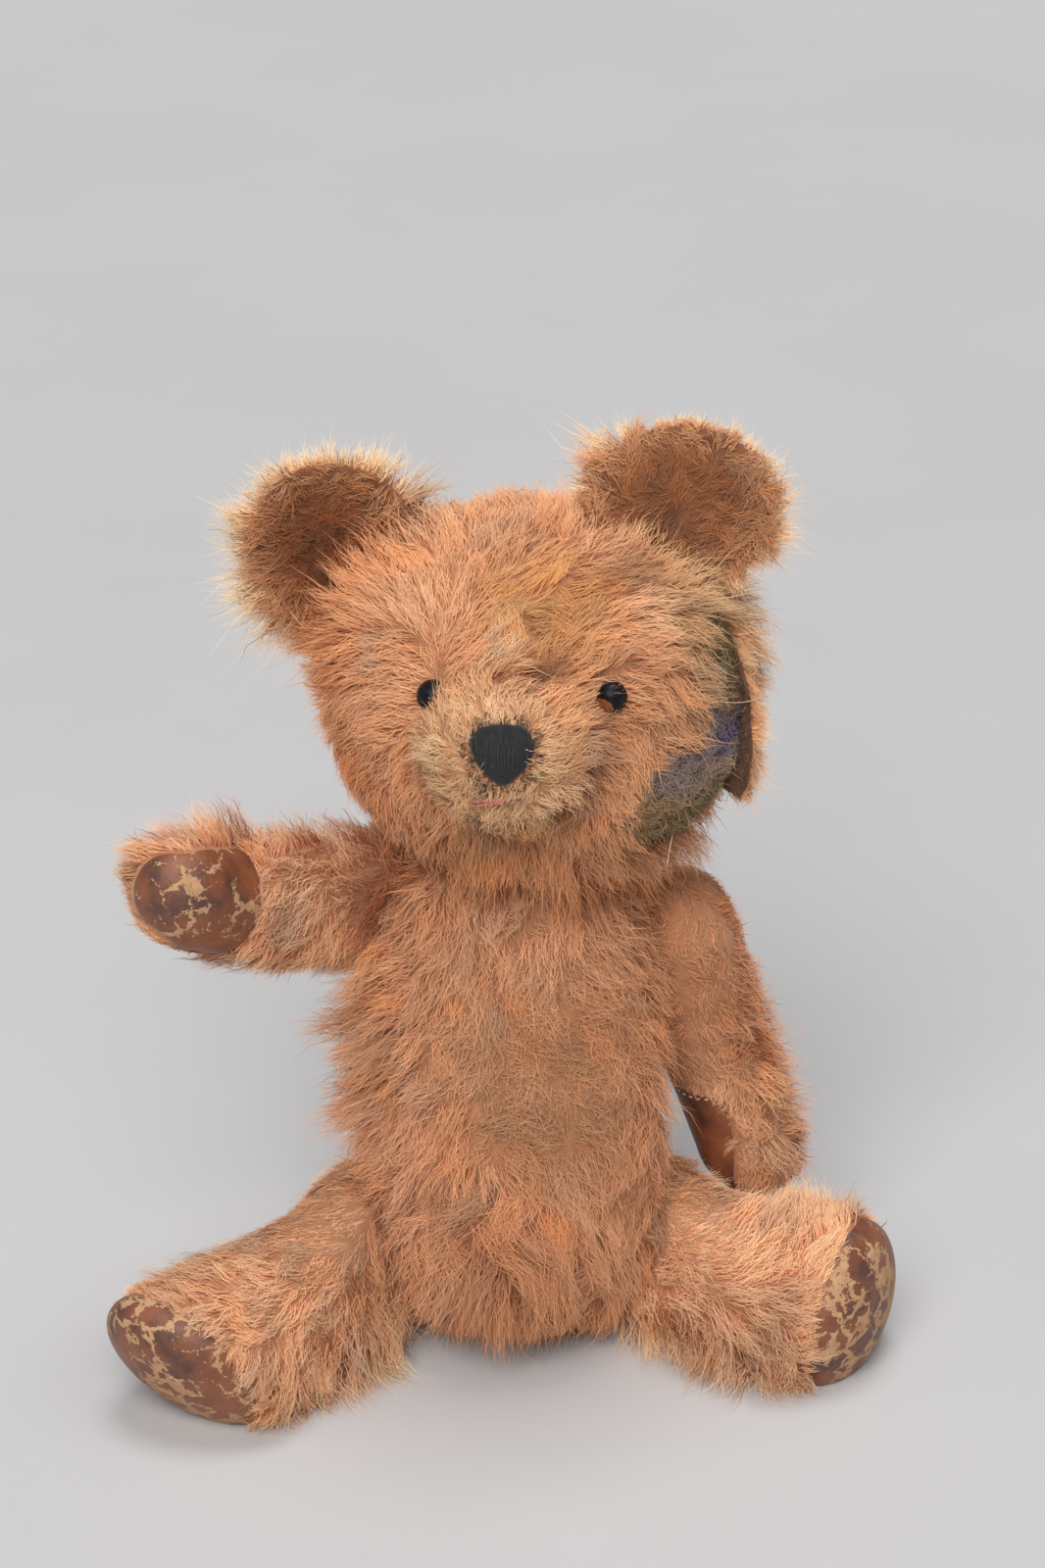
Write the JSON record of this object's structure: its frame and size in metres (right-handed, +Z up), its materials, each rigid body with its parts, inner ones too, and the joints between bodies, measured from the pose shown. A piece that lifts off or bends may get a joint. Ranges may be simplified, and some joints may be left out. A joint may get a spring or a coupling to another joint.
{
  "type": "jointed teddy bear",
  "caption": "Old sitting plush teddy bear with disc joints at neck, arms and legs, worn paw and foot pads, and a torn cheek showing its stuffing.",
  "frame": {"origin": "on the flat that the bear sits on, below the middle of its torso", "axes": "+Z up, the bear faces -Y, +X towards its own left side"},
  "size_m": [0.2689, 0.1625, 0.3256],
  "materials": {
    "plush": "long cinnamon mohair pile on a cotton backing, matted and faded",
    "ear_plush": "plush worn down to its backing inside, with a long faded pile at the rim",
    "stuffing": "mixed shoddy wool fibres in grey, green, blue and cream",
    "rexine": "coated cloth, cracked and flaked to its pale backing",
    "hardboard": "bare pressed board",
    "steel": "plain dull steel",
    "black_thread": "close parallel embroidery stitches, fuzzy",
    "pink_thread": "faded embroidery thread",
    "amber_glass": "polished amber glass with a black pupil"
  },
  "bodies": {
    "torso": {"torso_cover": "plush", "torso_stuffing": "stuffing", "neck_body_disc": "hardboard", "neck_body_washer": "steel", "neck_cotter_pin": "steel", "right_shoulder_body_disc": "hardboard", "right_shoulder_body_washer": "steel", "right_shoulder_cotter_pin": "steel", "left_shoulder_body_disc": "hardboard", "left_shoulder_body_washer": "steel", "left_shoulder_cotter_pin": "steel", "right_hip_body_disc": "hardboard", "right_hip_body_washer": "steel", "right_hip_cotter_pin": "steel", "left_hip_body_disc": "hardboard", "left_hip_body_washer": "steel", "left_hip_cotter_pin": "steel"},
    "head": {"head_cover": "plush", "head_stuffing": "stuffing", "right_ear": "ear_plush", "left_ear": "ear_plush", "right_eye": "amber_glass", "left_eye": "amber_glass", "nose_stitching": "black_thread", "mouth_stitching": "pink_thread", "neck_limb_disc": "hardboard", "neck_limb_washer": "steel"},
    "right_arm": {"right_arm_cover": "plush", "right_arm_stuffing": "stuffing", "right_paw_pad": "rexine", "right_shoulder_limb_disc": "hardboard", "right_shoulder_limb_washer": "steel"},
    "right_leg": {"right_leg_cover": "plush", "right_leg_stuffing": "stuffing", "right_foot_pad": "rexine", "right_hip_limb_disc": "hardboard", "right_hip_limb_washer": "steel"},
    "left_arm": {"left_arm_cover": "plush", "left_arm_stuffing": "stuffing", "left_paw_pad": "rexine", "left_shoulder_limb_disc": "hardboard", "left_shoulder_limb_washer": "steel"},
    "left_leg": {"left_leg_cover": "plush", "left_leg_stuffing": "stuffing", "left_foot_pad": "rexine", "left_hip_limb_disc": "hardboard", "left_hip_limb_washer": "steel"}
  },
  "joints": [
    {"name": "neck", "type": "hinge", "parent": "torso", "child": "head", "pos_m": [0, 0.005, 0.18], "axis": [0, 0, 1], "range_deg": [-45, 45]},
    {"name": "right_shoulder", "type": "hinge", "parent": "torso", "child": "right_arm", "pos_m": [-0.037, 0.012, 0.147], "axis": [-0.8177, 0.5519, 0.1635], "range_deg": [-30, 25]},
    {"name": "left_shoulder", "type": "hinge", "parent": "torso", "child": "left_arm", "pos_m": [0.0424, 0.004, 0.142], "axis": [0.9913, 0.1214, 0.0506], "range_deg": [0, 70]},
    {"name": "right_hip", "type": "hinge", "parent": "torso", "child": "right_leg", "pos_m": [-0.036, -0.013, 0.033], "axis": [-0.8645, 0.4021, -0.3016], "range_deg": [0, 45]},
    {"name": "left_hip", "type": "hinge", "parent": "torso", "child": "left_leg", "pos_m": [0.03, -0.011, 0.032], "axis": [-0.7222, -0.6018, 0.341], "range_deg": [0, 8]}
  ]
}
